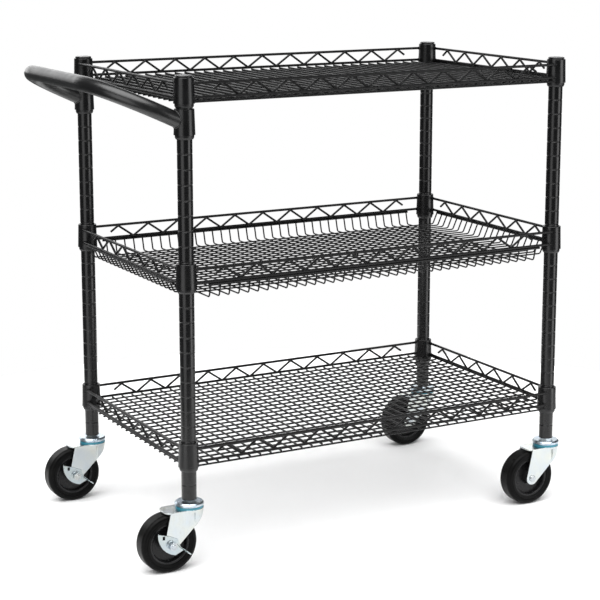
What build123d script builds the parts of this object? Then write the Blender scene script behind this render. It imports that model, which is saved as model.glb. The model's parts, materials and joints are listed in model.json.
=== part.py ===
"""Wire shelf cart: four grooved posts, three wire shelves, a push handle and four swivel casters.

Millimetres, +Z up. The origin is on the floor, under the middle of the four posts.
+X points away from the handle, and the handle is at the -X end.
"""

import math
import os

from build123d import *

os.makedirs("parts", exist_ok=True)

# ---------------------------------------------------------------- driving dimensions

# Posts: one inch tube with a rolled groove every inch
POST_SPACING_X = 740.0
POST_SPACING_Y = 428.0
POST_DIAMETER = 25.4
POST_WALL = 1.2
POST_BOTTOM = 120.0
POST_LENGTH = 709.0
GROOVE_PITCH = 25.4
GROOVE_DEPTH = 0.5
GROOVE_ROUND = 1.5
CAP_DIAMETER = 29.0
CAP_THICKNESS = 2.5
CAP_ROUND = 1.6
CAP_PLUG_DEPTH = 12.0
INSERT_DEPTH = 30.0
INSERT_THREAD_RADIUS = 5.1

# Shelf corner collars and the split plastic sleeves they wedge on
COLLAR_HEIGHT = 42.0
COLLAR_TOP_RADIUS = 16.5
COLLAR_BOTTOM_RADIUS = 17.75
COLLAR_WALL = 1.9
COLLAR_EDGE = 0.5
SLEEVE_SPLIT = 0.6
SLEEVE_OVERHANG = 7.0
SLEEVE_END_RADIUS = 14.4
SLEEVE_END_TAPER = 3.0
SLEEVE_CLEARANCE = 0.05
TOP_COLLAR_Z = 828.0
SHELF_STEP = 12 * GROOVE_PITCH

# Shelf wires
RIM_OFFSET = 12.0
UPPER_RIM_DROP = 9.0
LOWER_RIM_DROP = 32.0
RIM_WIRE = 4.8
TRUSS_WIRE = 4.0
MESH_WIRE = 3.3
TRUSS_PITCH = 61.0
TRUSS_PERIODS_LONG = 10
TRUSS_PERIODS_SHORT = 5
TRUSS_INSET = 1.0
TRUSS_BEND = 3.0
MESH_GAPS_LONG = 38
MESH_GAPS_SHORT = 22
MESH_OVERHANG = 1.5
CORNER_CUT = 60.0
CORNER_CUT_INSIDE_X = 10.0
CORNER_CUT_INSIDE_Y = 5.0

# Basket hung below the rims of the middle shelf
BASKET_WIRE = 2.7
BASKET_PITCH_X = 18.3
BASKET_PITCH_Y = 18.2
BASKET_GAPS_X = 36
BASKET_GAPS_Y = 20
BASKET_DEPTH = 23.6
BASKET_SIDE_INSET = 7.0
BASKET_END_INSET = 9.8
BASKET_BEND = 5.0
BORDER_OVERHANG = 5.6
WALL_WIRE_RISE = 1.0

# Push handle, bent from one tube in a sloping plane
HANDLE_DIAMETER = 26.0
HANDLE_WALL = 1.5
HANDLE_COLLAR_DROP = 2 * GROOVE_PITCH
HANDLE_JOINT_Z = 753.4
HANDLE_REACH = 132.0
HANDLE_RISE = 61.6
HANDLE_BEND = 110.0

# Caster bearing and stem
STEM_RADIUS = 5.0
STEM_LENGTH = 26.0
STEM_HEX = 19.0
STEM_TIP = 1.2
KINGPIN_RADIUS = 6.0
KINGPIN_HOLE_RADIUS = 6.3
FLANGE_RADIUS = 15.5
FLANGE_GAP = 0.3
RIVET_RADIUS = 8.0
RIVET_HEIGHT = 2.0
RIVET_ROUND = 1.4
RACE_RADIUS = 24.6
RACE_WALL = 1.6
RACE_SLOPE = 2.4
RACE_TOP_Z = 116.5
RACE_BOTTOM_Z = 110.5
BALL_RADIUS = 2.35
BALL_CIRCLE_RADIUS = 18.5
BALL_COUNT = 18
SEAL_RADIUS = 23.6
SEAL_HEIGHT = 4.0
SEAL_EDGE = 0.6

# Caster fork, pressed from sheet steel
SHEET = 2.5
TRAIL = 43.0
FORK_GAP = 35.0
FORK_FOOT_RADIUS = 12.0
FORK_TOP_Z = 106.0
FORK_CROWN_RADIUS = 24.4
FORK_SKIRT = 7.0
FORK_CONE_INSET = 1.0
FORK_CONE_BOTTOM_Z = 66.0
PANEL_FRONT_X = 1.0
PANEL_TOP_Z = 102.4
PANEL_CORNER = 6.0
HOOD_REACH = 51.0
HOOD_CORNER = 14.0
BOSS_RADIUS = 21.9
BOSS_HEIGHT = 3.4

# Wheel and axle
WHEEL_RADIUS = 50.8
WHEEL_WIDTH = 32.0
TREAD_INNER_RADIUS = 36.0
TREAD_SHOULDER = 7.5
TREAD_RING_RADIUS = 41.5
TREAD_RING_DEPTH = 0.8
TREAD_LIP = 1.0
RIM_INNER_RADIUS = 30.0
RIM_HALF_WIDTH = 14.0
RIM_DRAFT = 2.0
RIM_ROUND = 3.0
WEB_HALF_WIDTH = 6.0
HUB_RADIUS = 13.0
HUB_DRAFT = 1.0
HUB_HALF_LENGTH = 17.0
BUSH_RADIUS = 6.0
BUSH_LENGTH = 34.6
AXLE_RADIUS = 4.0
AXLE_RUNNING_GAP = 0.07
BOLT_HEAD_RADIUS = 6.0
BOLT_HEAD_HEIGHT = 3.0
BOLT_HEAD_ROUND = 2.0
BOLT_DIMPLE_RADIUS = 1.6
BOLT_DIMPLE_DEPTH = 1.0
BOLT_TIP = 0.8
BOLT_END = 1.0
NUT_HEX = 13.0
NUT_ROUND_RADIUS = 7.3
NUT_HEIGHT = 6.5
NUT_CORNER = 0.6

# Brake lever, drawn about the axle as (forward, up), on the two casters below the handle
BRAKED = ("front_left", "back_left")
LEVER_GAP = 0.3
LEVER_SHEET = 2.0
LEVER_RIM_DEPTH = 2.0
LEVER_CAM_RADIUS = 8.5
LEVER_CAM_HEIGHT = 1.5
LEVER_TIP = (-25.0, 23.0)
LEVER_BELLY = (-15.5, -5.0)
LEVER_HEEL = (6.5, -18.0)
LEVER_TAB_LOW = (23.5, -10.5)
LEVER_TAB_HIGH = (15.5, -4.5)
LEVER_NOTCH = (11.0, 9.5)
LEVER_BACK = (-6.5, 17.3)
LEVER_TAB_REACH = 22.0
LEVER_TAB_NARROWING = 6.0
LEVER_TAB_SLANT = 4.0
LEVER_WINDOW = (-14.6, 15.1)
LEVER_WINDOW_WIDTH = 4.5
LEVER_WINDOW_HEIGHT = 6.0

# ---------------------------------------------------------------- worked-out places

HALF_X = POST_SPACING_X / 2
HALF_Y = POST_SPACING_Y / 2
POST_RADIUS = POST_DIAMETER / 2
BORE_RADIUS = POST_RADIUS - POST_WALL
POST_TOP = POST_BOTTOM + POST_LENGTH
POSTS = {
    "front_left": (-HALF_X, -HALF_Y),
    "front_right": (HALF_X, -HALF_Y),
    "back_left": (-HALF_X, HALF_Y),
    "back_right": (HALF_X, HALF_Y),
}
SHELVES = {
    "top": TOP_COLLAR_Z,
    "middle": TOP_COLLAR_Z - SHELF_STEP,
    "bottom": TOP_COLLAR_Z - 2 * SHELF_STEP,
}
HANDLE_COLLAR_Z = TOP_COLLAR_Z - HANDLE_COLLAR_DROP
RIM_X = HALF_X + RIM_OFFSET
RIM_Y = HALF_Y + RIM_OFFSET
AXLE_Z = WHEEL_RADIUS
AXLE_AXIS = Axis((-TRAIL, 0, AXLE_Z), (0, 1, 0))
AXLE_PLANE = Plane(origin=(-TRAIL, 0, AXLE_Z), x_dir=(1, 0, 0), z_dir=(0, -1, 0))
FORK_OUTER_Y = FORK_GAP / 2 + SHEET
BOSS_TOP_Z = FORK_TOP_Z + BOSS_HEIGHT
FLANGE_TOP_Z = BOSS_TOP_Z - SHEET - FLANGE_GAP


def export(part, name):
    """Write one finished piece, or one group of like pieces, to its own file."""
    part.label = name
    export_step(part, f"parts/{name}.step")


def copies(piece, places):
    """The same piece at every given place, as separate solids."""
    with BuildPart() as group:
        with Locations(*places):
            add(piece)
    return group.part


def at_posts(height=0.0):
    """The four post axes at one height."""
    return [(x, y, height) for x, y in POSTS.values()]


# ---------------------------------------------------------------- posts and their ends


def post():
    """A hollow tube with rolled grooves, standing on its caster's stem."""
    groove_count = int(POST_LENGTH / GROOVE_PITCH)
    groove_centre = POST_RADIUS + GROOVE_ROUND - GROOVE_DEPTH
    groove_heights = [POST_BOTTOM + GROOVE_PITCH * k for k in range(1, groove_count + 1)]
    with BuildPart() as tube:
        with BuildSketch(Plane.XZ):
            with Locations((BORE_RADIUS, POST_BOTTOM)):
                Rectangle(POST_WALL, POST_LENGTH, align=(Align.MIN, Align.MIN))
        revolve(axis=Axis.Z)
        with BuildSketch(Plane.XZ):
            with Locations(*[(groove_centre, z) for z in groove_heights]):
                Circle(GROOVE_ROUND)
        revolve(axis=Axis.Z, mode=Mode.SUBTRACT)
    return tube.part


def post_cap():
    """A domed plastic cap whose plug sits inside the top of a post."""
    with BuildPart() as cap:
        with BuildSketch(Plane.XY.offset(POST_TOP)):
            Circle(CAP_DIAMETER / 2)
        extrude(amount=CAP_THICKNESS)
        fillet(cap.faces().sort_by(Axis.Z)[-1].edges(), radius=CAP_ROUND)
        with BuildSketch(Plane.XY.offset(POST_TOP - CAP_PLUG_DEPTH)):
            Circle(BORE_RADIUS - SLEEVE_CLEARANCE)
        extrude(amount=CAP_PLUG_DEPTH)
    return cap.part


def post_insert():
    """The threaded plug pressed into the bottom of a post, which holds the caster's stem."""
    with BuildPart() as insert:
        with BuildSketch(Plane.XY.offset(POST_BOTTOM)):
            Circle(BORE_RADIUS - SLEEVE_CLEARANCE)
            Circle(INSERT_THREAD_RADIUS, mode=Mode.SUBTRACT)
        extrude(amount=INSERT_DEPTH)
    return insert.part


# ---------------------------------------------------------------- collars and sleeves


def collar_radius(depth):
    """Outer radius of a collar at a depth below its top."""
    return COLLAR_TOP_RADIUS + (COLLAR_BOTTOM_RADIUS - COLLAR_TOP_RADIUS) * depth / COLLAR_HEIGHT


def collar_outline(top_z):
    """The solid cone that a collar fills, for cutting wires to length against it."""
    with BuildPart() as cone:
        with Locations((0, 0, top_z - COLLAR_HEIGHT / 2)):
            Cone(COLLAR_BOTTOM_RADIUS, COLLAR_TOP_RADIUS, COLLAR_HEIGHT)
    return cone.part


def collar(top_z):
    """A slightly conical steel ring, open at both ends."""
    bottom_z = top_z - COLLAR_HEIGHT
    with BuildPart() as ring:
        with BuildSketch(Plane.XZ):
            with BuildLine():
                Polyline(
                    (COLLAR_TOP_RADIUS - COLLAR_WALL, top_z),
                    (COLLAR_TOP_RADIUS, top_z),
                    (COLLAR_BOTTOM_RADIUS, bottom_z),
                    (COLLAR_BOTTOM_RADIUS - COLLAR_WALL, bottom_z),
                    close=True,
                )
            make_face()
        revolve(axis=Axis.Z)
        chamfer(ring.edges().filter_by(GeomType.CIRCLE).group_by(Axis.Z)[-1], length=COLLAR_EDGE)
    return ring.part


def sleeve(top_z):
    """Two plastic half shells that grip one groove of the post and wedge inside a collar."""
    bottom_z = top_z - COLLAR_HEIGHT
    end_z = bottom_z - SLEEVE_OVERHANG
    inner = POST_RADIUS + SLEEVE_CLEARANCE
    wedge_top = COLLAR_TOP_RADIUS - COLLAR_WALL - SLEEVE_CLEARANCE
    wedge_bottom = COLLAR_BOTTOM_RADIUS - COLLAR_WALL - SLEEVE_CLEARANCE
    groove_z = POST_BOTTOM + GROOVE_PITCH * round((top_z - COLLAR_HEIGHT / 2 - POST_BOTTOM) / GROOVE_PITCH)
    with BuildPart() as halves:
        with BuildSketch(Plane.XZ):
            with BuildLine():
                Polyline(
                    (inner, top_z),
                    (wedge_top, top_z),
                    (wedge_bottom, bottom_z),
                    (wedge_bottom, end_z + SLEEVE_END_TAPER),
                    (SLEEVE_END_RADIUS, end_z),
                    (inner, end_z),
                    close=True,
                )
            make_face()
            with Locations((inner + GROOVE_ROUND - GROOVE_DEPTH, groove_z)):
                Circle(GROOVE_ROUND - SLEEVE_CLEARANCE)
        revolve(axis=Axis.Z)
        Box(4 * COLLAR_BOTTOM_RADIUS, SLEEVE_SPLIT, 4 * POST_LENGTH, mode=Mode.SUBTRACT)
    return halves.part


# ---------------------------------------------------------------- shelf wires


def rim_wires(top_z):
    """Upper and lower rim rods of all four sides, welded end-on to the corner collars."""
    heights = [top_z - UPPER_RIM_DROP, top_z - LOWER_RIM_DROP]
    with BuildPart() as rods:
        with BuildSketch(Plane.YZ.offset(-HALF_X)):
            with Locations(*[(y, z) for y in (-RIM_Y, RIM_Y) for z in heights]):
                Circle(RIM_WIRE / 2)
        extrude(amount=POST_SPACING_X)
        with BuildSketch(Plane.XZ.offset(-HALF_Y)):
            with Locations(*[(x, z) for x in (-RIM_X, RIM_X) for z in heights]):
                Circle(RIM_WIRE / 2)
        extrude(amount=POST_SPACING_Y)
        with Locations(*at_posts()):
            add(collar_outline(top_z), mode=Mode.SUBTRACT)
    return rods.part


def bent_wire(plane, points, bend_radius, diameter):
    """Round wire along straight runs joined by arcs, drawn on one plane."""
    with BuildPart() as wire:
        with BuildLine(plane) as path:
            FilletPolyline(*points, radius=bend_radius)
        with BuildSketch(Plane(origin=path.line @ 0, z_dir=path.line % 0)):
            Circle(diameter / 2)
        sweep()
    return wire.part


def truss_points(periods, top_z):
    """Corners of a zigzag that starts and ends with half a leg, as (along, height)."""
    high = top_z - UPPER_RIM_DROP - TRUSS_INSET
    low = top_z - LOWER_RIM_DROP + TRUSS_INSET
    reach = TRUSS_PITCH * periods / 2
    stub = TRUSS_PITCH / 4
    points = [(-reach - stub, (high + low) / 2)]
    for half_step in range(2 * periods + 1):
        points.append((-reach + TRUSS_PITCH * half_step / 2, low if half_step % 2 else high))
    points.append((reach + stub, (high + low) / 2))
    return points


def truss_wires(top_z):
    """The zigzag wires, whose bends touch the inner faces of the rim rods."""
    leg_slope = math.atan2(LOWER_RIM_DROP - UPPER_RIM_DROP - 2 * TRUSS_INSET, TRUSS_PITCH / 2)
    bend_drop = TRUSS_INSET + TRUSS_BEND * (1 / math.cos(leg_slope) - 1)
    inward = math.sqrt(((RIM_WIRE + TRUSS_WIRE) / 2) ** 2 - bend_drop**2)
    long_wire = bent_wire(Plane.XZ, truss_points(TRUSS_PERIODS_LONG, top_z), TRUSS_BEND, TRUSS_WIRE)
    short_wire = bent_wire(Plane.YZ, truss_points(TRUSS_PERIODS_SHORT, top_z), TRUSS_BEND, TRUSS_WIRE)
    with BuildPart() as wires:
        with Locations((0, inward - RIM_Y, 0), (0, RIM_Y - inward, 0)):
            add(long_wire)
        with Locations((inward - RIM_X, 0, 0), (RIM_X - inward, 0, 0)):
            add(short_wire)
    return wires.part


def shelf_mesh(top_z):
    """Floor of a flat shelf: cross wires under the lower rim, long wires under those."""
    cross_z = top_z - LOWER_RIM_DROP - (RIM_WIRE + MESH_WIRE) / 2
    long_z = cross_z - MESH_WIRE
    pitch_x = 2 * RIM_X / MESH_GAPS_LONG
    pitch_y = 2 * RIM_Y / MESH_GAPS_SHORT
    half_long = RIM_X + MESH_OVERHANG
    half_cross = RIM_Y + MESH_OVERHANG
    with BuildPart() as cross_wires:
        with BuildSketch(Plane.XZ.offset(-half_cross)):
            with Locations((0, cross_z)):
                with GridLocations(pitch_x, 1, MESH_GAPS_LONG + 1, 1):
                    Circle(MESH_WIRE / 2)
        extrude(amount=2 * half_cross)
        add(corner_cuts(top_z), mode=Mode.SUBTRACT)
    with BuildPart() as long_wires:
        with BuildSketch(Plane.YZ.offset(-half_long)):
            with Locations((0, long_z)):
                with GridLocations(pitch_y, 1, MESH_GAPS_SHORT + 1, 1):
                    Circle(MESH_WIRE / 2)
        extrude(amount=2 * half_long)
        add(corner_cuts(top_z), mode=Mode.SUBTRACT)
    return Compound(children=cross_wires.part.solids() + long_wires.part.solids())


def corner_cuts(top_z):
    """The collars' outlines and the corners outside them, which mesh wires stop short of."""
    with BuildPart() as cuts:
        with Locations(*at_posts()):
            add(collar_outline(top_z))
        for x, y in POSTS.values():
            centre_x = x + math.copysign(CORNER_CUT / 2 - CORNER_CUT_INSIDE_X, x)
            centre_y = y + math.copysign(CORNER_CUT / 2 - CORNER_CUT_INSIDE_Y, y)
            with Locations((centre_x, centre_y, top_z - COLLAR_HEIGHT / 2)):
                Box(CORNER_CUT, CORNER_CUT, COLLAR_HEIGHT)
    return cuts.part


def basket_border_z():
    """Height of the border wires, which touch the lower rim rods from below."""
    return SHELVES["middle"] - LOWER_RIM_DROP - (RIM_WIRE + TRUSS_WIRE) / 2


def basket_border():
    """Four straight border wires, stopping short of the corner collars."""
    half_x = BASKET_PITCH_X * BASKET_GAPS_X / 2 + BORDER_OVERHANG
    half_y = BASKET_PITCH_Y * BASKET_GAPS_Y / 2 + BORDER_OVERHANG
    with BuildPart() as border:
        with BuildSketch(Plane.YZ.offset(-half_x)):
            with Locations((-RIM_Y, basket_border_z()), (RIM_Y, basket_border_z())):
                Circle(TRUSS_WIRE / 2)
        extrude(amount=2 * half_x)
        with BuildSketch(Plane.XZ.offset(-half_y)):
            with Locations((-RIM_X, basket_border_z()), (RIM_X, basket_border_z())):
                Circle(TRUSS_WIRE / 2)
        extrude(amount=2 * half_y)
    return border.part


def basket_wires():
    """Basket walls and floor: each wire runs down one wall, across the floor and up again."""
    top_z = basket_border_z() + WALL_WIRE_RISE
    cross_z = basket_border_z() - BASKET_DEPTH
    long_z = cross_z + BASKET_WIRE
    inward = (TRUSS_WIRE + BASKET_WIRE) / 2
    top_y = RIM_Y - inward
    top_x = RIM_X - inward
    floor_y = top_y - BASKET_SIDE_INSET
    floor_x = top_x - BASKET_END_INSET
    cross_bends = [(-top_y, top_z), (-floor_y, cross_z), (floor_y, cross_z), (top_y, top_z)]
    long_bends = [(-top_x, top_z), (-floor_x, long_z), (floor_x, long_z), (top_x, top_z)]
    cross = bent_wire(Plane.YZ, cross_bends, BASKET_BEND, BASKET_WIRE)
    long = bent_wire(Plane.XZ, long_bends, BASKET_BEND, BASKET_WIRE)
    with BuildPart() as cross_wires:
        with GridLocations(BASKET_PITCH_X, 1, BASKET_GAPS_X + 1, 1):
            add(cross)
    with BuildPart() as long_wires:
        with GridLocations(1, BASKET_PITCH_Y, 1, BASKET_GAPS_Y + 1):
            add(long)
    return Compound(children=cross_wires.part.solids() + long_wires.part.solids())


# ---------------------------------------------------------------- push handle


def handle_bar():
    """One bent tube, coped at both ends to lie against the handle collars."""
    length = math.hypot(HANDLE_REACH, HANDLE_RISE)
    slope = Plane(
        origin=(-HALF_X, 0, HANDLE_JOINT_Z),
        x_dir=(-HANDLE_REACH, 0, HANDLE_RISE),
        z_dir=(-HANDLE_RISE, 0, -HANDLE_REACH),
    )
    with BuildPart() as bar:
        with BuildLine(slope) as path:
            corners = [(0, HALF_Y), (length, HALF_Y), (length, -HALF_Y), (0, -HALF_Y)]
            FilletPolyline(*corners, radius=HANDLE_BEND)
        with BuildSketch(Plane(origin=path.line @ 0, z_dir=path.line % 0)):
            Circle(HANDLE_DIAMETER / 2)
            Circle(HANDLE_DIAMETER / 2 - HANDLE_WALL, mode=Mode.SUBTRACT)
        sweep()
        with Locations((-HALF_X, -HALF_Y, 0), (-HALF_X, HALF_Y, 0)):
            add(collar_outline(HANDLE_COLLAR_Z), mode=Mode.SUBTRACT)
    return bar.part


# ---------------------------------------------------------------- casters
#
# A caster is modelled about its own swivel axis at x = y = 0, with the wheel trailing to -X.


def caster_stem():
    """Threaded stem, hexagon and kingpin in one piece, riveted over below the fork."""
    with BuildPart() as stem:
        with BuildSketch(Plane.XY.offset(POST_BOTTOM)):
            Circle(STEM_RADIUS)
        extrude(amount=STEM_LENGTH)
        chamfer(stem.faces().sort_by(Axis.Z)[-1].edges(), length=STEM_TIP)
        with BuildSketch(Plane.XY.offset(RACE_TOP_Z)):
            RegularPolygon(STEM_HEX / 2, 6, major_radius=False)
        extrude(amount=POST_BOTTOM - RACE_TOP_Z)
        with BuildSketch(Plane.XY.offset(FLANGE_TOP_Z)):
            Circle(KINGPIN_RADIUS)
        extrude(amount=RACE_TOP_Z - FLANGE_TOP_Z)
        with BuildSketch(Plane.XY.offset(FLANGE_TOP_Z)):
            Circle(FLANGE_RADIUS)
        extrude(amount=-SHEET)
        with BuildSketch(Plane.XY.offset(FLANGE_TOP_Z - SHEET)):
            Circle(RIVET_RADIUS)
        extrude(amount=-RIVET_HEIGHT)
        fillet(stem.faces().sort_by(Axis.Z)[0].edges(), radius=RIVET_ROUND)
    return stem.part


def top_race():
    """The fixed upper race, an inverted dish over the balls."""
    hole = KINGPIN_RADIUS + SLEEVE_CLEARANCE
    skirt = RACE_RADIUS - RACE_WALL
    under = RACE_TOP_Z - RACE_WALL
    with BuildPart() as race:
        with BuildSketch(Plane.XZ):
            with BuildLine():
                Polyline(
                    (hole, RACE_TOP_Z),
                    (RACE_RADIUS - RACE_SLOPE, RACE_TOP_Z),
                    (RACE_RADIUS, RACE_TOP_Z - RACE_SLOPE),
                    (RACE_RADIUS, RACE_BOTTOM_Z),
                    (skirt, RACE_BOTTOM_Z),
                    (skirt, under),
                    (hole, under),
                    close=True,
                )
            make_face()
        revolve(axis=Axis.Z)
    return race.part


def bearing_balls():
    """The ring of balls under the fixed race, just clear of the fork's ball seat."""
    height = RACE_TOP_Z - RACE_WALL - SLEEVE_CLEARANCE - BALL_RADIUS
    with BuildPart() as balls:
        with Locations((0, 0, height)):
            with PolarLocations(BALL_CIRCLE_RADIUS, BALL_COUNT):
                Sphere(BALL_RADIUS)
    return balls.part


def seal_ring():
    """The coloured plastic ring that closes the gap round the balls."""
    with BuildPart() as ring:
        with BuildSketch(Plane.XY.offset(FORK_TOP_Z)):
            Circle(SEAL_RADIUS)
            Circle(BOSS_RADIUS + SLEEVE_CLEARANCE, mode=Mode.SUBTRACT)
        extrude(amount=SEAL_HEIGHT)
        chamfer(ring.faces().sort_by(Axis.Z)[-1].outer_wire().edges(), length=SEAL_EDGE)
    return ring.part


def fork_plan(cheek_y, crown_radius, top_z, panel_front, panel_top):
    """Two flat sides and a cone round the swivel axis, solid and over-long behind and below.

    The flat panel of each side is set in from the cone, with a round corner at its top.
    """
    with BuildPart() as plan:
        with BuildSketch(Plane.XY.offset(top_z)):
            with Locations((panel_front, 0)):
                Rectangle(2 * TRAIL, 2 * cheek_y, align=(Align.MAX, Align.CENTER))
        extrude(amount=-top_z)
        with Locations((0, 0, (top_z + FORK_CONE_BOTTOM_Z) / 2)):
            Cone(cheek_y - FORK_CONE_INSET, crown_radius, top_z - FORK_CONE_BOTTOM_Z)
        for side in (-1, 1):
            with BuildSketch(Plane.XZ.offset(-side * cheek_y)) as panel:
                with Locations((panel_front, panel_top)):
                    Rectangle(2 * TRAIL, panel_top, align=(Align.MAX, Align.MAX))
                fillet(panel.vertices().group_by(Axis.X)[-1].sort_by(Axis.Z)[-1], radius=PANEL_CORNER)
            extrude(amount=-side * cheek_y, mode=Mode.SUBTRACT)
    return plan.part


def fork_side():
    """The fork's side view, from a round foot at the axle to the crown, as a thick plate."""
    with BuildPart() as plate:
        with BuildSketch(Plane.XZ):
            with Locations((-TRAIL, AXLE_Z)):
                Circle(FORK_FOOT_RADIUS)
            with Locations((-TRAIL, FORK_TOP_Z)):
                Rectangle(TRAIL + FORK_CROWN_RADIUS, FORK_SKIRT, align=(Align.MIN, Align.MAX))
            make_hull()
        extrude(amount=2 * FORK_CROWN_RADIUS, both=True)
    return plate.part


def fork():
    """The stamped sheet-steel fork, with a hood over the wheel and a raised ball seat."""
    inside_top = FORK_TOP_Z - SHEET
    inside_radius = FORK_CROWN_RADIUS - SHEET
    inside = fork_plan(FORK_GAP / 2, inside_radius, inside_top, PANEL_FRONT_X + SHEET, inside_top)
    with BuildPart() as body:
        add(fork_plan(FORK_OUTER_Y, FORK_CROWN_RADIUS, FORK_TOP_Z, PANEL_FRONT_X, PANEL_TOP_Z))
        add(fork_side(), mode=Mode.INTERSECT)
        with BuildSketch(Plane.XY.offset(inside_top)) as hood:
            Rectangle(HOOD_REACH, 2 * FORK_OUTER_Y, align=(Align.MAX, Align.CENTER))
            fillet(hood.vertices().group_by(Axis.X)[0], radius=HOOD_CORNER)
        extrude(amount=SHEET)
        add(inside, mode=Mode.SUBTRACT)
        with BuildSketch(Plane.XY.offset(FORK_TOP_Z)):
            Circle(BOSS_RADIUS)
        extrude(amount=BOSS_HEIGHT)
        with BuildSketch(Plane.XY.offset(inside_top)):
            Circle(BOSS_RADIUS - SHEET)
        extrude(amount=BOSS_HEIGHT, mode=Mode.SUBTRACT)
        with BuildSketch(Plane.XY.offset(inside_top)):
            Circle(KINGPIN_HOLE_RADIUS)
        extrude(amount=BOSS_HEIGHT + SHEET, mode=Mode.SUBTRACT)
        with BuildSketch(AXLE_PLANE):
            Circle(AXLE_RADIUS + SLEEVE_CLEARANCE)
        extrude(amount=2 * FORK_OUTER_Y, both=True, mode=Mode.SUBTRACT)
    return body.part


def spun_about_axle(outline):
    """A ring from a closed outline of (radius, distance along the axle) points."""
    with BuildPart() as ring:
        with BuildSketch(Plane(origin=(-TRAIL, 0, AXLE_Z))):
            with BuildLine():
                Polyline(*outline, close=True)
            make_face()
        revolve(axis=AXLE_AXIS)
    return ring.part


def mirrored_outline(half):
    """A closed outline from its points on one side of the wheel's middle plane."""
    return half + [(radius, -along) for radius, along in reversed(half)]


def hub():
    """The wheel centre: a boss, a thin web and a rim with sloping inner faces and a round edge."""
    outer = TREAD_INNER_RADIUS - SLEEVE_CLEARANCE
    rim_edge = RIM_INNER_RADIUS + RIM_DRAFT
    half = [
        (outer, RIM_HALF_WIDTH),
        (rim_edge, RIM_HALF_WIDTH),
        (RIM_INNER_RADIUS, WEB_HALF_WIDTH),
        (HUB_RADIUS + HUB_DRAFT, WEB_HALF_WIDTH),
        (HUB_RADIUS, HUB_HALF_LENGTH),
        (BUSH_RADIUS, HUB_HALF_LENGTH),
    ]
    with BuildPart() as centre:
        add(spun_about_axle(mirrored_outline(half)))
        circles = centre.edges().filter_by(GeomType.CIRCLE)
        rim_circles = circles.filter_by(lambda circle: abs(circle.radius - rim_edge) < SLEEVE_CLEARANCE)
        fillet(rim_circles, radius=RIM_ROUND)
    return centre.part


def bush():
    """The sleeve bearing through the hub, running on the axle bolt."""
    inner = AXLE_RADIUS + AXLE_RUNNING_GAP
    outer = BUSH_RADIUS - SLEEVE_CLEARANCE
    half_length = BUSH_LENGTH / 2
    return spun_about_axle(mirrored_outline([(inner, half_length), (outer, half_length)]))


def tyre():
    """The solid rubber tread, with round shoulders and a shallow ring in each side."""
    half_width = WHEEL_WIDTH / 2
    half_seat = RIM_HALF_WIDTH + TREAD_LIP
    half = [
        (WHEEL_RADIUS, half_width),
        (TREAD_RING_RADIUS, half_width),
        (TREAD_INNER_RADIUS, half_seat),
    ]
    with BuildPart() as tread:
        add(spun_about_axle(mirrored_outline(half)))
        fillet(tread.edges().filter_by(GeomType.CIRCLE).group_by(SortBy.RADIUS)[-1], radius=TREAD_SHOULDER)
        with BuildSketch(Plane(origin=(-TRAIL, 0, AXLE_Z))):
            with Locations((TREAD_RING_RADIUS, -half_width), (TREAD_RING_RADIUS, half_width)):
                Circle(TREAD_RING_DEPTH)
        revolve(axis=AXLE_AXIS, mode=Mode.SUBTRACT)
    return tread.part


def axle_bolt(head_side, reach):
    """A round-headed bolt, its head on one side of the fork and its thread beyond the other."""
    seat = Plane(origin=(-TRAIL, head_side * FORK_OUTER_Y, AXLE_Z), z_dir=(0, head_side, 0))
    with BuildPart() as bolt:
        with BuildSketch(seat):
            Circle(BOLT_HEAD_RADIUS)
        extrude(amount=BOLT_HEAD_HEIGHT)
        ends = bolt.faces().filter_by(Axis.Y).sort_by(Axis.Y, reverse=head_side > 0)
        fillet(ends[0].edges(), radius=BOLT_HEAD_ROUND)
        with BuildSketch(seat.offset(BOLT_HEAD_HEIGHT)):
            Circle(BOLT_DIMPLE_RADIUS)
        extrude(amount=-BOLT_DIMPLE_DEPTH, mode=Mode.SUBTRACT)
        with BuildSketch(seat):
            Circle(AXLE_RADIUS)
        extrude(amount=-(2 * FORK_OUTER_Y + reach))
        ends = bolt.faces().filter_by(Axis.Y).sort_by(Axis.Y, reverse=head_side < 0)
        chamfer(ends[0].edges(), length=BOLT_TIP)
    return bolt.part


def axle_nut(side, seat_y):
    """A hexagonal nut with its inner face at a distance from the wheel's middle plane."""
    seat = Plane(origin=(-TRAIL, side * seat_y, AXLE_Z), z_dir=(0, side, 0))
    with BuildPart() as nut:
        with BuildSketch(seat):
            Circle(NUT_ROUND_RADIUS)
        extrude(amount=NUT_HEIGHT)
        chamfer(nut.edges().filter_by(GeomType.CIRCLE), length=NUT_CORNER)
        with BuildSketch(seat):
            RegularPolygon(NUT_HEX / 2, 6, major_radius=False)
            Circle(AXLE_RADIUS + SLEEVE_CLEARANCE, mode=Mode.SUBTRACT)
        extrude(amount=NUT_HEIGHT, mode=Mode.INTERSECT)
    return nut.part


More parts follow.
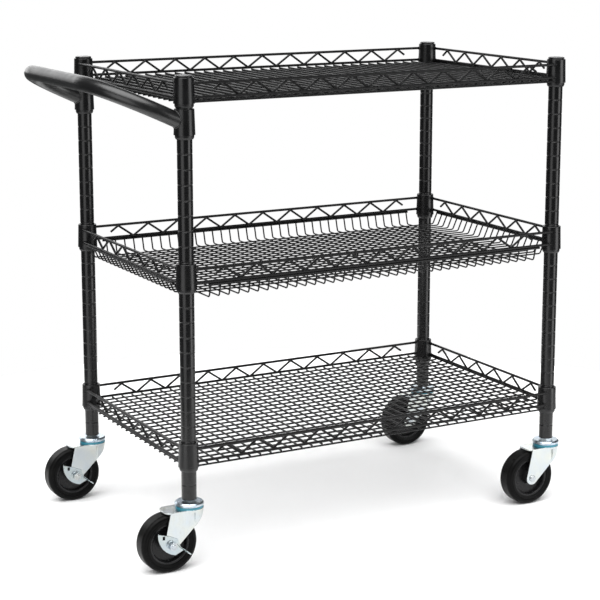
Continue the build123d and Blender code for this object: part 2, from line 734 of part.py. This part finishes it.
def brake_lever():
    """The pressed foot lever: a plate with a turned rim, a raised cam ring and a toe tab."""
    face = AXLE_PLANE.offset(FORK_OUTER_Y + LEVER_GAP)
    tab_x, tab_z = LEVER_TAB_LOW
    tab_origin = face.from_local_coords((tab_x, tab_z, 0))
    tab_end = face.from_local_coords((*LEVER_TAB_HIGH, 0))
    tab_edge = tab_end - tab_origin
    tab_length = tab_edge.length
    tab_plane = Plane(origin=tab_origin, x_dir=tab_edge, z_dir=tab_edge.cross(Vector(0, -1, 0)))
    with BuildPart() as lever:
        with BuildSketch(face):
            with BuildLine():
                ThreePointArc(LEVER_TIP, LEVER_BELLY, LEVER_HEEL)
                Polyline(LEVER_HEEL, LEVER_TAB_LOW, LEVER_TAB_HIGH, LEVER_NOTCH, LEVER_BACK, LEVER_TIP)
            make_face()
        extrude(amount=LEVER_SHEET)
        with BuildSketch(face):
            with BuildLine():
                outer = ThreePointArc(LEVER_TIP, LEVER_BELLY, LEVER_HEEL)
                inner = ThreePointArc(
                    inset(LEVER_TIP, 1, 0), inset(LEVER_BELLY, 1, 0.5), inset(LEVER_HEEL, 0, 1)
                )
                Line(outer @ 0, inner @ 0)
                Line(outer @ 1, inner @ 1)
            make_face()
        extrude(amount=-LEVER_RIM_DEPTH)
        with BuildSketch(face):
            Circle(LEVER_CAM_RADIUS)
        extrude(amount=LEVER_SHEET + LEVER_CAM_HEIGHT)
        with BuildSketch(tab_plane):
            with BuildLine():
                Polyline(
                    (0, 0),
                    (tab_length, 0),
                    (tab_length - LEVER_TAB_NARROWING, LEVER_TAB_REACH),
                    (-LEVER_TAB_SLANT, LEVER_TAB_REACH),
                    close=True,
                )
            make_face()
        extrude(amount=-LEVER_SHEET)
        with BuildSketch(face):
            Circle(AXLE_RADIUS + AXLE_RUNNING_GAP)
            with Locations(LEVER_WINDOW):
                Rectangle(LEVER_WINDOW_WIDTH, LEVER_WINDOW_HEIGHT)
        extrude(amount=FORK_OUTER_Y, mode=Mode.SUBTRACT)
    return lever.part


def inset(point, across, up):
    """A point moved inwards from the lever's edge by parts of one sheet thickness."""
    return (point[0] + across * LEVER_SHEET, point[1] + up * LEVER_SHEET)


# ---------------------------------------------------------------- all the pieces


def export_frame():
    """Posts, shelves and handle, which all stay still."""
    one_post = post()
    for name, (x, y) in POSTS.items():
        export(copies(one_post, [(x, y, 0)]), f"post_{name}")
    export(copies(post_cap(), at_posts()), "post_caps")
    export(copies(post_insert(), at_posts()), "post_inserts")
    for name, top_z in SHELVES.items():
        export(copies(sleeve(top_z), at_posts()), f"{name}_shelf_sleeves")
        export(copies(collar(top_z), at_posts()), f"{name}_shelf_collars")
        export(rim_wires(top_z), f"{name}_rim_wires")
        export(truss_wires(top_z), f"{name}_truss_wires")
    export(shelf_mesh(SHELVES["top"]), "top_mesh")
    export(shelf_mesh(SHELVES["bottom"]), "bottom_mesh")
    export(basket_border(), "basket_border")
    export(basket_wires(), "basket_wires")
    handle_posts = [(-HALF_X, -HALF_Y, 0), (-HALF_X, HALF_Y, 0)]
    export(copies(sleeve(HANDLE_COLLAR_Z), handle_posts), "handle_sleeves")
    export(copies(collar(HANDLE_COLLAR_Z), handle_posts), "handle_collars")
    export(handle_bar(), "handle_bar")


def export_casters():
    """The fixed halves of the casters as groups, and every moving piece for each caster."""
    export(copies(caster_stem(), at_posts()), "caster_stems")
    export(copies(top_race(), at_posts()), "caster_top_races")
    export(copies(bearing_balls(), at_posts()), "caster_balls")
    lever_stack = LEVER_GAP + LEVER_SHEET + LEVER_CAM_HEIGHT + LEVER_GAP
    same_on_all = {
        "caster_fork": fork(),
        "seal_ring": seal_ring(),
        "bush": bush(),
        "hub": hub(),
        "tyre": tyre(),
    }
    plain = {
        "axle_bolt": axle_bolt(-1, NUT_HEIGHT + BOLT_END),
        "axle_nut": axle_nut(1, FORK_OUTER_Y),
    }
    braked = {
        "axle_bolt": axle_bolt(1, lever_stack + NUT_HEIGHT + BOLT_END),
        "axle_nut": axle_nut(-1, FORK_OUTER_Y + lever_stack),
        "brake_lever": brake_lever(),
    }
    for name, (x, y) in POSTS.items():
        own = braked if name in BRAKED else plain
        for piece, part in {**same_on_all, **own}.items():
            export(copies(part, [(x, y, 0)]), f"{piece}_{name}")


export_frame()
export_casters()
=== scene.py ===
"""The wire shelf cart in a plain white studio, dressed with procedural materials."""

import json
import math

import bmesh
import bpy
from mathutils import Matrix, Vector


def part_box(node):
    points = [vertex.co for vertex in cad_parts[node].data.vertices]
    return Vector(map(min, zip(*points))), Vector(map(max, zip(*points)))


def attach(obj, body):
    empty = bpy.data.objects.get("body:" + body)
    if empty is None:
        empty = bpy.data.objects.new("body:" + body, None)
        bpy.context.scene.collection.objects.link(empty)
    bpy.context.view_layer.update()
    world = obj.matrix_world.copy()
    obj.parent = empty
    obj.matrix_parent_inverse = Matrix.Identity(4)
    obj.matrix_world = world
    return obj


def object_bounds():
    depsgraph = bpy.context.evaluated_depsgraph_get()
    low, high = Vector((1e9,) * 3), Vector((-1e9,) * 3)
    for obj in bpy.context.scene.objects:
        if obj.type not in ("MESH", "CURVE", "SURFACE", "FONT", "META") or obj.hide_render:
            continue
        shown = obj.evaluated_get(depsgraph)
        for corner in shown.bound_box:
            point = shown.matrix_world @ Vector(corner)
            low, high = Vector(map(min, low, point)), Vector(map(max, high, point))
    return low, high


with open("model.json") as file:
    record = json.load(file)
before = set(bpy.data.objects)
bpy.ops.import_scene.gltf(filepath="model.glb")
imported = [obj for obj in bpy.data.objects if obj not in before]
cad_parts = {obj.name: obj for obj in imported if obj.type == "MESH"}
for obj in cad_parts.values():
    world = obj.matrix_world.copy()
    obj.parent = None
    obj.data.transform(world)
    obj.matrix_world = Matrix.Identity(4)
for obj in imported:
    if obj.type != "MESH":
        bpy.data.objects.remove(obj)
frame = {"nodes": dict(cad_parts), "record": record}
CAD_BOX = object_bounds()
NODES = frame["nodes"]
RECORD = frame["record"]
SHELVES = ("top", "middle", "bottom")

# ---------------------------------------------------------------- node material helpers

NOISE_ROUGHNESS = 0.55
EDGE_SHARPNESS = 0.35
FLAT_ENOUGH = 0.995
BOX_MIDDLE = 0.5


class Finish:
    """A material under construction: one Principled shader and the textures that feed it."""

    def __init__(self, name, **values):
        self.material = bpy.data.materials.new(name)
        self.material.use_nodes = True
        self.tree = self.material.node_tree
        self.tree.nodes.clear()
        self.output = self.tree.nodes.new("ShaderNodeOutputMaterial")
        self.shader = self.tree.nodes.new("ShaderNodeBsdfPrincipled")
        self.tree.links.new(self.shader.outputs[0], self.output.inputs[0])
        self.height = None
        for socket, value in values.items():
            self.shader.inputs[socket.replace("_", " ")].default_value = value
        self.coordinates = self.node("ShaderNodeTexCoord")

    def node(self, kind, inputs=None, **settings):
        """A new node with its settings, its fixed inputs and its linked inputs."""
        made = self.tree.nodes.new(kind)
        for key, value in settings.items():
            setattr(made, key, value)
        for key, value in (inputs or {}).items():
            self.feed(made.inputs[key], value)
        return made

    def feed(self, socket, value):
        """Link a socket's source, or set its fixed value."""
        if isinstance(value, bpy.types.NodeSocket):
            self.tree.links.new(value, socket)
        else:
            socket.default_value = value

    def math(self, operation, a, b=0.0):
        made = self.node("ShaderNodeMath", {0: a, 1: b}, operation=operation)
        return made.outputs[0]

    def noise(self, scale, detail=4.0, stretch=(1, 1, 1)):
        """Fractal noise about 0.5, at so many features a metre."""
        place = self.node(
            "ShaderNodeMapping", {"Vector": self.coordinates.outputs["Object"], "Scale": stretch}
        )
        made = self.node(
            "ShaderNodeTexNoise",
            {"Vector": place.outputs[0], "Scale": scale, "Detail": detail, "Roughness": NOISE_ROUGHNESS},
        )
        return made.outputs["Fac"]

    def speckle(self, scale):
        """Small round cells, as distance from each one's middle."""
        made = self.node(
            "ShaderNodeTexVoronoi", {"Vector": self.coordinates.outputs["Object"], "Scale": scale}
        )
        return made.outputs["Distance"]

    def spread(self, source, low, high, source_low, source_high):
        """A source value carried from its own range to another."""
        made = self.node(
            "ShaderNodeMapRange",
            {"Value": source, "From Min": source_low, "From Max": source_high, "To Min": low, "To Max": high},
        )
        return made.outputs["Result"]

    def blend(self, factor, first, second):
        """A colour between two others."""
        made = self.node("ShaderNodeMix", {"Factor": factor}, data_type="RGBA")
        self.feed(made.inputs[6], first)
        self.feed(made.inputs[7], second)
        return made.outputs[2]

    def worn_edges(self, radius):
        """Near 1 within a small radius of an outside or inside edge, and 0 on flat faces."""
        rounded = self.node("ShaderNodeBevel", {"Radius": radius}, samples=4)
        surface = self.node("ShaderNodeNewGeometry")
        aligned = self.node(
            "ShaderNodeVectorMath",
            {0: rounded.outputs[0], 1: surface.outputs["Normal"]},
            operation="DOT_PRODUCT",
        )
        return self.spread(aligned.outputs["Value"], 1.0, 0.0, 1.0 - EDGE_SHARPNESS, FLAT_ENOUGH)

    def radius_from_axle(self):
        """Distance from the middle of the piece's own box in X and Z, as a share of its width."""
        split = self.node("ShaderNodeSeparateXYZ", {0: self.coordinates.outputs["Generated"]})
        x = self.math("SUBTRACT", split.outputs["X"], BOX_MIDDLE)
        z = self.math("SUBTRACT", split.outputs["Z"], BOX_MIDDLE)
        square = self.math("ADD", self.math("MULTIPLY", x, x), self.math("MULTIPLY", z, z))
        return self.math("SQRT", square)

    def colour(self, source):
        self.feed(self.shader.inputs["Base Color"], source)

    def roughness(self, source):
        self.feed(self.shader.inputs["Roughness"], source)

    def soften_edges(self, radius):
        """Round off the look of the edges, below any relief added later."""
        self.height = self.node("ShaderNodeBevel", {"Radius": radius}, samples=6).outputs[0]

    def bump(self, source, distance, strength):
        """Another layer of surface relief, in metres of height."""
        inputs = {"Height": source, "Distance": distance, "Strength": strength}
        if self.height is not None:
            inputs["Normal"] = self.height
        self.height = self.node("ShaderNodeBump", inputs).outputs[0]
        self.feed(self.shader.inputs["Normal"], self.height)


def rgb(red, green, blue):
    """An opaque colour."""
    return (red, green, blue, 1.0)


# ---------------------------------------------------------------- finishes
#
# Noise scales are features a metre, and bump distances and edge radii are metres.

COAT_DARK = rgb(0.00225, 0.00225, 0.0024)
COAT_LIGHT = rgb(0.0045, 0.0045, 0.0048)
COAT_DUST = rgb(0.016, 0.016, 0.017)
COAT_RUBBED = rgb(0.03, 0.03, 0.031)
ZINC_STAIN = rgb(0.42, 0.42, 0.42)
ZINC_RUBBED = rgb(0.9, 0.9, 0.9)
RUBBER_CLEAN = rgb(0.002, 0.002, 0.002)
RUBBER_SCUFFED = rgb(0.006, 0.006, 0.0058)
RUBBER_GRIT = rgb(0.013, 0.0127, 0.012)
HUB_DARK = rgb(0.005, 0.005, 0.0055)
HUB_LIGHT = rgb(0.012, 0.012, 0.0125)
STEEL_DARK = rgb(0.62, 0.63, 0.65)
STEEL_LIGHT = rgb(0.76, 0.76, 0.77)
TURNED_RINGS = 260.0


def powder_coat(name, low, high, gloss, edge=False, soft=0.0):
    """Semi-gloss black powder coat: fine orange peel, faint dust and softly worn edges."""
    coat = Finish(name, Specular_IOR_Level=gloss)
    if soft:
        coat.soften_edges(soft)
    blotch = coat.noise(14.0, 5.0)
    dust = coat.spread(coat.noise(420.0, 3.0), 0.0, 1.0, 0.52, 0.78)
    base = coat.blend(blotch, COAT_DARK, COAT_LIGHT)
    base = coat.blend(coat.math("MULTIPLY", dust, 0.2), base, COAT_DUST)
    if edge:
        patches = coat.spread(coat.noise(160.0), 0.0, 0.3, 0.4, 0.6)
        rub = coat.math("MULTIPLY", coat.worn_edges(0.0007), patches)
        base = coat.blend(rub, base, COAT_RUBBED)
    coat.colour(base)
    coat.roughness(coat.spread(coat.noise(55.0, 6.0), low, high, 0.3, 0.7))
    coat.bump(coat.noise(480.0, 1.0), 0.00002, 0.2)
    return coat.material


def zinc_plate(name, tint, low, high, edge=0.0012):
    """Bright zinc plate on pressed steel: drawing marks, cloudy passivation and rubbed, round edges."""
    plate = Finish(name, Metallic=1.0)
    plate.soften_edges(edge)
    cloud = plate.noise(45.0, 6.0)
    warm = rgb(tint[0] * 0.96, tint[1] * 0.95, tint[2] * 0.90)
    cool = rgb(tint[0] * 0.86, tint[1] * 0.90, tint[2] * 0.96)
    base = plate.blend(plate.spread(cloud, 0.0, 1.0, 0.35, 0.65), cool, warm)
    stain = plate.spread(plate.noise(170.0, 8.0), 0.0, 0.4, 0.56, 0.74)
    base = plate.blend(stain, base, ZINC_STAIN)
    base = plate.blend(plate.math("MULTIPLY", plate.worn_edges(0.0006), 0.6), base, ZINC_RUBBED)
    plate.colour(base)
    drawing = plate.noise(420.0, 4.0, stretch=(1, 1, 0.08))
    plate.roughness(plate.spread(plate.math("ADD", cloud, drawing), low, high, 0.75, 1.25))
    plate.bump(drawing, 0.00003, 0.35)
    plate.bump(plate.noise(60.0, 2.0), 0.00025, 0.12)
    return plate.material


def moulded_plastic(name, colour, low=0.35, high=0.5):
    """Moulded plastic with a fine spark-eroded grain and slight flow marks."""
    plastic = Finish(name)
    flow = plastic.noise(35.0, 3.0, stretch=(1, 1, 3))
    dark = rgb(*(part * 0.8 for part in colour))
    light = rgb(*(min(1.0, part * 1.2 + 0.002) for part in colour))
    plastic.colour(plastic.blend(flow, dark, light))
    plastic.roughness(plastic.spread(plastic.noise(120.0, 4.0), low, high, 0.3, 0.7))
    plastic.bump(plastic.speckle(1500.0), 0.00004, 0.5)
    return plastic.material


def tyre_rubber(name):
    """Solid black rubber: rings on the side walls, dull scuffs and grey dust on the tread."""
    rubber = Finish(name, Specular_IOR_Level=0.08)
    radius = rubber.radius_from_axle()
    scuff = rubber.spread(rubber.noise(95.0, 8.0), 0.0, 1.0, 0.5, 0.72)
    tread = rubber.spread(radius, 0.0, 1.0, 0.485, 0.499)
    grit = rubber.math("MULTIPLY", tread, rubber.spread(rubber.noise(240.0, 4.0), 0.0, 0.6, 0.4, 0.7))
    base = rubber.blend(rubber.math("MULTIPLY", scuff, 0.35), RUBBER_CLEAN, RUBBER_SCUFFED)
    rubber.colour(rubber.blend(grit, base, RUBBER_GRIT))
    rubber.roughness(rubber.spread(rubber.noise(60.0, 5.0), 0.26, 0.42, 0.3, 0.7))
    rings = rubber.math("SINE", rubber.math("MULTIPLY", radius, TURNED_RINGS))
    rubber.bump(rings, 0.00012, 0.2)
    rubber.bump(rubber.noise(600.0, 3.0), 0.00005, 0.3)
    return rubber.material


def hub_plastic(name):
    """Black wheel centre, with turned rings and a soft sheen."""
    plastic = Finish(name, Specular_IOR_Level=0.22)
    radius = plastic.radius_from_axle()
    flow = plastic.noise(50.0, 4.0)
    plastic.colour(plastic.blend(flow, HUB_DARK, HUB_LIGHT))
    plastic.roughness(plastic.spread(plastic.noise(90.0, 4.0), 0.2, 0.32, 0.3, 0.7))
    rings = plastic.math("SINE", plastic.math("MULTIPLY", radius, TURNED_RINGS))
    plastic.bump(rings, 0.0001, 0.25)
    plastic.bump(plastic.speckle(1300.0), 0.00004, 0.4)
    return plastic.material


def polished_steel(name):
    """Hard polished steel, with hairline marks."""
    steel = Finish(name, Metallic=1.0)
    steel.colour(steel.blend(steel.noise(70.0, 4.0), STEEL_DARK, STEEL_LIGHT))
    steel.roughness(steel.spread(steel.noise(300.0, 5.0), 0.08, 0.22, 0.3, 0.7))
    steel.bump(steel.noise(900.0, 3.0), 0.00001, 0.3)
    return steel.material


FINISHES = {
    "post": powder_coat("black_powder_post", low=0.2, high=0.3, gloss=0.42, soft=0.002),
    "collar": powder_coat("black_powder_collar", low=0.22, high=0.34, gloss=0.42, edge=True),
    "shelf_wire": powder_coat("black_powder_wire", low=0.26, high=0.44, gloss=0.22),
    "handle": powder_coat("black_powder_handle", low=0.28, high=0.38, gloss=0.72),
    "sleeve": moulded_plastic("black_sleeve_plastic", (0.006, 0.006, 0.0065)),
    "black_plastic": moulded_plastic("black_cap_plastic", (0.006, 0.006, 0.0065), low=0.3, high=0.45),
    "caster_zinc": zinc_plate("bright_zinc_fork", tint=(0.58, 0.605, 0.60), low=0.15, high=0.27),
    "race_zinc": zinc_plate("blue_zinc_race", tint=(0.50, 0.57, 0.63), low=0.24, high=0.34),
    "stem_zinc": zinc_plate("plain_zinc_stem", tint=(0.66, 0.67, 0.68), low=0.10, high=0.2, edge=0.0006),
    "lever_zinc": zinc_plate("bright_zinc_lever", tint=(0.46, 0.51, 0.52), low=0.16, high=0.30),
    "fastener": zinc_plate("bright_zinc_fastener", tint=(0.50, 0.52, 0.53), low=0.18, high=0.32),
    "steel_ball": polished_steel("polished_ball_steel"),
    "seal": moulded_plastic("blue_green_seal_plastic", (0.03, 0.22, 0.30), low=0.3, high=0.42),
    "tread": tyre_rubber("black_tyre_rubber"),
    "wheel_centre": hub_plastic("black_hub_plastic"),
    "bush": moulded_plastic("pale_bearing_plastic", (0.52, 0.52, 0.49)),
}


def dress_frame():
    """Give every piece from the frame the finish of its own slot."""
    for entry in RECORD["subparts"]:
        piece = NODES[entry["node"]]
        piece.data.materials.clear()
        piece.data.materials.append(FINISHES[entry["material_slot"]])


dress_frame()

# ---------------------------------------------------------------- welds
#
# Lengths are in metres. First the sizes that the pieces in the frame already have.

RIM_OFFSET = 0.012
RIM_DROPS = (0.009, 0.032)
RIM_RADIUS = 0.0024
COLLAR_TOP_RADIUS = 0.0165
COLLAR_BOTTOM_RADIUS = 0.01775
HANDLE_RADIUS = 0.013
HANDLE_DROP = 0.0238
HANDLE_SLOPE = math.radians(25.0)

# Beads at the ends of the rim rods: half sizes in rod radii, distance off the collar, and lumps
BEAD_ACROSS = 1.28
BEAD_ALONG = 1.2
BEAD_OUT = 0.0006
BEAD_LUMP = 0.14
BEAD_WAVES = (7.1, 6.3, 5.2)
BEAD_SHIFTS = (90, 70)

# Bead round each end of the handle tube
BEAD_THICK = 0.0013
BEAD_RIPPLE = 0.00022
BEAD_RIPPLES = 30
BEAD_STEPS = 144
BEAD_SIDES = 10
COLLAR_GUESS = 0.015
COLLAR_GUESSES = 6


def post_axes():
    """The four post axes, as (x, y), from the swivel joints below them."""
    places = {}
    for joint in RECORD["behaviour"]["joints"]:
        if joint["name"].startswith("swivel_turn_"):
            places[joint["name"].removeprefix("swivel_turn_")] = joint["pos_m"][:2]
    return places


POSTS = post_axes()


def collar_radius(height, collars):
    """Outer radius of a conical collar at a height."""
    low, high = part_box(collars)
    share = (high.z - height) / (high.z - low.z)
    return COLLAR_TOP_RADIUS + (COLLAR_BOTTOM_RADIUS - COLLAR_TOP_RADIUS) * share


def finished_piece(name, mesh, body, slot):
    """A new smooth-shaded piece that rides on a body and takes a slot's finish."""
    for polygon in mesh.polygons:
        polygon.use_smooth = True
    mesh.materials.append(FINISHES[slot])
    piece = bpy.data.objects.new(name, mesh)
    bpy.context.scene.collection.objects.link(piece)
    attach(piece, body)
    return piece


def add_bead(shape, place, along):
    """A lumpy oval of weld metal on a rim rod, its axis along a direction."""
    size = (RIM_RADIUS * BEAD_ACROSS, RIM_RADIUS * BEAD_ACROSS, RIM_RADIUS * BEAD_ALONG)
    turn = Vector(along).to_track_quat("Z", "Y").to_matrix().to_4x4()
    made = bmesh.ops.create_icosphere(shape, subdivisions=2, radius=1.0)
    for vertex in made["verts"]:
        across = math.sin(BEAD_WAVES[0] * vertex.co.x + BEAD_SHIFTS[0] * place[0])
        over = math.sin(BEAD_WAVES[1] * vertex.co.y + BEAD_SHIFTS[1] * place[1])
        bulge = 1.0 + BEAD_LUMP * across * over * math.cos(BEAD_WAVES[2] * vertex.co.z)
        local = Vector(
            (vertex.co.x * size[0] * bulge, vertex.co.y * size[1] * bulge, vertex.co.z * size[2] * bulge)
        )
        vertex.co = turn @ local + Vector(place)


def rim_welds(shelf):
    """A bead at each end of each rim rod, where it meets its collar."""
    collars = f"{shelf}_shelf_collars"
    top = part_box(collars)[1].z
    shape = bmesh.new()
    for x, y in POSTS.values():
        side_x = math.copysign(1.0, x)
        side_y = math.copysign(1.0, y)
        for drop in RIM_DROPS:
            height = top - drop
            reach = math.sqrt(collar_radius(height, collars) ** 2 - RIM_OFFSET**2)
            on_x_rod = (x - side_x * (reach + BEAD_OUT), y + side_y * RIM_OFFSET, height)
            on_y_rod = (x + side_x * RIM_OFFSET, y - side_y * (reach + BEAD_OUT), height)
            add_bead(shape, on_x_rod, (1, 0, 0))
            add_bead(shape, on_y_rod, (0, 1, 0))
    mesh = bpy.data.meshes.new(f"{shelf}_rim_welds")
    shape.to_mesh(mesh)
    shape.free()
    finished_piece(f"{shelf}_rim_welds", mesh, "frame", "shelf_wire")


def handle_weld(name):
    """The rippled bead where an arm of the handle meets its collar."""
    x, y = POSTS[name]
    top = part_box("handle_collars")[1].z
    start = Vector((x, y, top - HANDLE_DROP))
    along = Vector((-math.cos(HANDLE_SLOPE), 0, math.sin(HANDLE_SLOPE)))
    up = Vector((math.sin(HANDLE_SLOPE), 0, math.cos(HANDLE_SLOPE)))
    across = Vector((0, 1, 0))
    shape = bmesh.new()
    loops = []
    for step in range(BEAD_STEPS):
        angle = 2 * math.pi * step / BEAD_STEPS
        rim = up * math.cos(angle) * HANDLE_RADIUS + across * math.sin(angle) * HANDLE_RADIUS
        distance = COLLAR_GUESS
        for _ in range(COLLAR_GUESSES):
            point = start + rim + along * distance
            target = math.sqrt(collar_radius(point.z, "handle_collars") ** 2 - rim.y**2)
            distance += (target - (start.x - point.x)) / math.cos(HANDLE_SLOPE)
        point = start + rim + along * distance
        outward = (point - start - along * distance).normalized()
        thick = BEAD_THICK + BEAD_RIPPLE * math.sin(BEAD_RIPPLES * angle)
        loop = []
        for turn in range(BEAD_SIDES):
            spin = 2 * math.pi * turn / BEAD_SIDES
            corner = point + outward * math.cos(spin) * thick + along * math.sin(spin) * thick
            loop.append(shape.verts.new(corner))
        loops.append(loop)
    for step in range(BEAD_STEPS):
        here, there = loops[step], loops[(step + 1) % BEAD_STEPS]
        for turn in range(BEAD_SIDES):
            following = (turn + 1) % BEAD_SIDES
            shape.faces.new((here[turn], there[turn], there[following], here[following]))
    bmesh.ops.recalc_face_normals(shape, faces=shape.faces)
    mesh = bpy.data.meshes.new(f"handle_weld_{name}")
    shape.to_mesh(mesh)
    shape.free()
    finished_piece(f"handle_weld_{name}", mesh, "frame", "handle")


for shelf_name in SHELVES:
    rim_welds(shelf_name)
handle_weld("front_left")
handle_weld("back_left")

# ---------------------------------------------------------------- studio
#
# Lengths are in metres, powers in watts, and sensor and focal length in millimetres.

FLOOR_RADIUS = 1.15
FLOOR_SIDES = 128
FLOOR_GAP = 0.0002
PAPER_DARK = rgb(0.93, 0.93, 0.93)
PAPER_LIGHT = rgb(0.95, 0.95, 0.95)

SUN_STRENGTH = 4.8
SUN_WIDTH = math.radians(70)
SUN_DIRECTION = (0.22, 0.30, -1.0)
REFLECTED_WORLD = 0.12

# Each softbox by name: its place, where it points, its width and height, and its power
SOFTBOXES = {
    "left_softbox": ((-3.0, -1.6, 0.5), (0, 0, 0.45), (2.2, 2.4), 29),
    "right_softbox": ((2.4, -2.9, 0.4), (0, 0, 0.45), (2.0, 2.6), 54),
    "back_softbox": ((-0.4, 5.0, 2.0), (-0.4, 0, 0.8), (4.2, 2.8), 84),
    "back_fill": ((3.1, 5.0, 2.1), (0, 0, 0.5), (2.5, 2.4), 32),
}

CAMERA_PLACE = (-1.582, -2.806, 1.090)
CAMERA_YAW = math.radians(28.8)
CAMERA_PITCH = math.radians(11.44)
FOCAL_LENGTH = 106.56
SENSOR_WIDTH = 36.0
LENS_SHIFT = -0.05
FARTHEST_SEEN = 60.0


def studio_floor():
    """A round pale floor, level with the bottom of the tyres and as white as what lies beyond."""
    floor_mesh = bpy.data.meshes.new("studio_floor")
    disc = bmesh.new()
    bmesh.ops.create_circle(disc, cap_ends=True, radius=FLOOR_RADIUS, segments=FLOOR_SIDES)
    disc.to_mesh(floor_mesh)
    disc.free()
    floor = bpy.data.objects.new("studio_floor", floor_mesh)
    floor.location.z = CAD_BOX[0][2] - FLOOR_GAP
    bpy.context.scene.collection.objects.link(floor)
    paper = Finish("studio_paper", Specular_IOR_Level=0.2, Roughness=0.7)
    paper.colour(paper.blend(paper.noise(2.0, 3.0), PAPER_DARK, PAPER_LIGHT))
    floor_mesh.materials.append(paper.material)


def soft_light(name, place, aim, size, power):
    """A large rectangular softbox pointed at a place, and not seen by the camera."""
    data = bpy.data.lights.new(name, "AREA")
    data.shape = "RECTANGLE"
    data.size, data.size_y = size
    data.energy = power
    light = bpy.data.objects.new(name, data)
    light.location = place
    light.rotation_euler = (Vector(aim) - Vector(place)).to_track_quat("-Z", "Y").to_euler()
    light.visible_camera = False
    bpy.context.scene.collection.objects.link(light)


def overhead_sun():
    """A very wide overhead light, which whitens the floor evenly and casts soft shadows."""
    data = bpy.data.lights.new("overhead", "SUN")
    data.energy = SUN_STRENGTH
    data.angle = SUN_WIDTH
    light = bpy.data.objects.new("overhead", data)
    light.rotation_euler = Vector(SUN_DIRECTION).to_track_quat("-Z", "Y").to_euler()
    bpy.context.scene.collection.objects.link(light)


def studio_world():
    """White surroundings behind the cart, and dimmer ones for what the cart reflects."""
    world = bpy.data.worlds.new("studio")
    bpy.context.scene.world = world
    world.use_nodes = True
    tree = world.node_tree
    tree.nodes.clear()
    output = tree.nodes.new("ShaderNodeOutputWorld")
    mix = tree.nodes.new("ShaderNodeMixShader")
    seen = tree.nodes.new("ShaderNodeLightPath")
    ambient = tree.nodes.new("ShaderNodeBackground")
    backdrop = tree.nodes.new("ShaderNodeBackground")
    ambient.inputs["Color"].default_value = rgb(0.96, 0.98, 1.0)
    ambient.inputs["Strength"].default_value = REFLECTED_WORLD
    backdrop.inputs["Color"].default_value = rgb(1.0, 1.0, 1.0)
    backdrop.inputs["Strength"].default_value = 1.0
    tree.links.new(seen.outputs["Is Camera Ray"], mix.inputs[0])
    tree.links.new(ambient.outputs[0], mix.inputs[1])
    tree.links.new(backdrop.outputs[0], mix.inputs[2])
    tree.links.new(mix.outputs[0], output.inputs[0])


def studio_camera():
    """A long lens a little above the cart, in front of its handle end."""
    level = math.cos(CAMERA_PITCH)
    forward = Vector(
        (math.sin(CAMERA_YAW) * level, math.cos(CAMERA_YAW) * level, -math.sin(CAMERA_PITCH))
    )
    data = bpy.data.cameras.new("photograph")
    data.lens = FOCAL_LENGTH
    data.sensor_width = SENSOR_WIDTH
    data.shift_y = LENS_SHIFT
    data.dof.use_dof = False
    data.clip_end = FARTHEST_SEEN
    camera = bpy.data.objects.new("photograph", data)
    camera.location = CAMERA_PLACE
    camera.rotation_euler = forward.to_track_quat("-Z", "Y").to_euler()
    bpy.context.scene.collection.objects.link(camera)
    bpy.context.scene.camera = camera


studio_floor()
studio_world()
overhead_sun()
for light_name, (light_place, light_aim, light_size, light_power) in SOFTBOXES.items():
    soft_light(light_name, light_place, light_aim, light_size, light_power)
studio_camera()
bpy.context.scene.view_settings.view_transform = "Standard"
